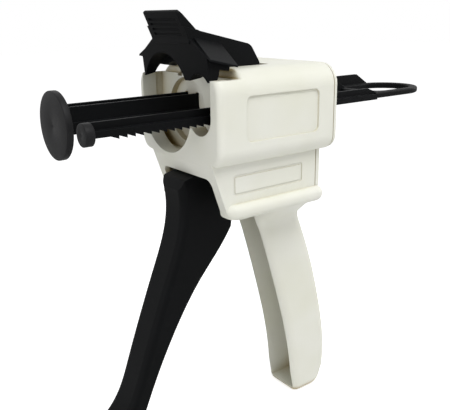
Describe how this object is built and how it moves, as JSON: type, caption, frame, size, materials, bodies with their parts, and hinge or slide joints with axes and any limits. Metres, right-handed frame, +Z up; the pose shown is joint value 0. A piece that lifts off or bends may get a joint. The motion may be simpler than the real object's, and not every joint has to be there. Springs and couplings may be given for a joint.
{
  "type": "dental dispensing tool",
  "caption": "Hand-squeezed dispenser for two-barrel dental cartridges, with a white hollow-handled housing, black trigger, latch lever and double-rod plunger.",
  "frame": {"origin": "on the housing's front face and centre plane, at the height of the two barrel axes", "axes": "+X rearward along the rods, +Z up out of the cartridge slot, +Y to the large barrel's side"},
  "size_m": [0.1875, 0.0594, 0.1889],
  "materials": {
    "white_abs": "satin moulded",
    "black_nylon": "satin moulded",
    "grey_acetal": "satin moulded",
    "steel": "ground",
    "spring_steel": "drawn"
  },
  "bodies": {
    "housing": {"housing": "white_abs", "rear_cover": "white_abs", "cover_screws": "steel", "trigger_pivot_pin": "steel", "trigger_bushes": "grey_acetal", "trigger_return_spring": "spring_steel", "latch_pivot_pin": "steel", "latch_detent_spring": "spring_steel", "detent_spring_screw": "steel", "rod_brake": "spring_steel", "rod_brake_screw": "steel"},
    "plunger": {"plunger": "black_nylon", "large_pusher_disc": "grey_acetal", "small_pusher_disc": "grey_acetal"},
    "trigger": {"trigger": "black_nylon", "pawl_pin": "steel", "pawl_pin_clips": "steel", "pawl_spring": "spring_steel"},
    "pawl": {"drive_pawl": "steel"},
    "latch": {"latch_lever": "black_nylon"}
  },
  "joints": [
    {"name": "plunger_slide", "type": "slide", "parent": "housing", "child": "plunger", "axis": [1, 0, 0], "range_m": [-0.0345, 0.058]},
    {"name": "trigger_pull", "type": "hinge", "parent": "housing", "child": "trigger", "pos_m": [0.026, 0, -0.028], "axis": [0, -1, 0], "range_deg": [0, 26], "stiffness_Nm_per_rad": 0.1, "springref_deg": -17.19, "deforming": ["trigger_return_spring"]},
    {"name": "pawl_tilt", "type": "hinge", "parent": "trigger", "child": "pawl", "pos_m": [0.0325, 0, -0.0145], "axis": [0, -1, 0], "range_deg": [-18, 0]},
    {"name": "latch_open", "type": "hinge", "parent": "housing", "child": "latch", "pos_m": [0.029, 0, 0.012], "axis": [0, 1, 0], "range_deg": [-13, 30]}
  ],
  "couplings": [
    {"joint": "pawl_tilt", "follows": "trigger_pull", "ratio": -0.686}
  ]
}
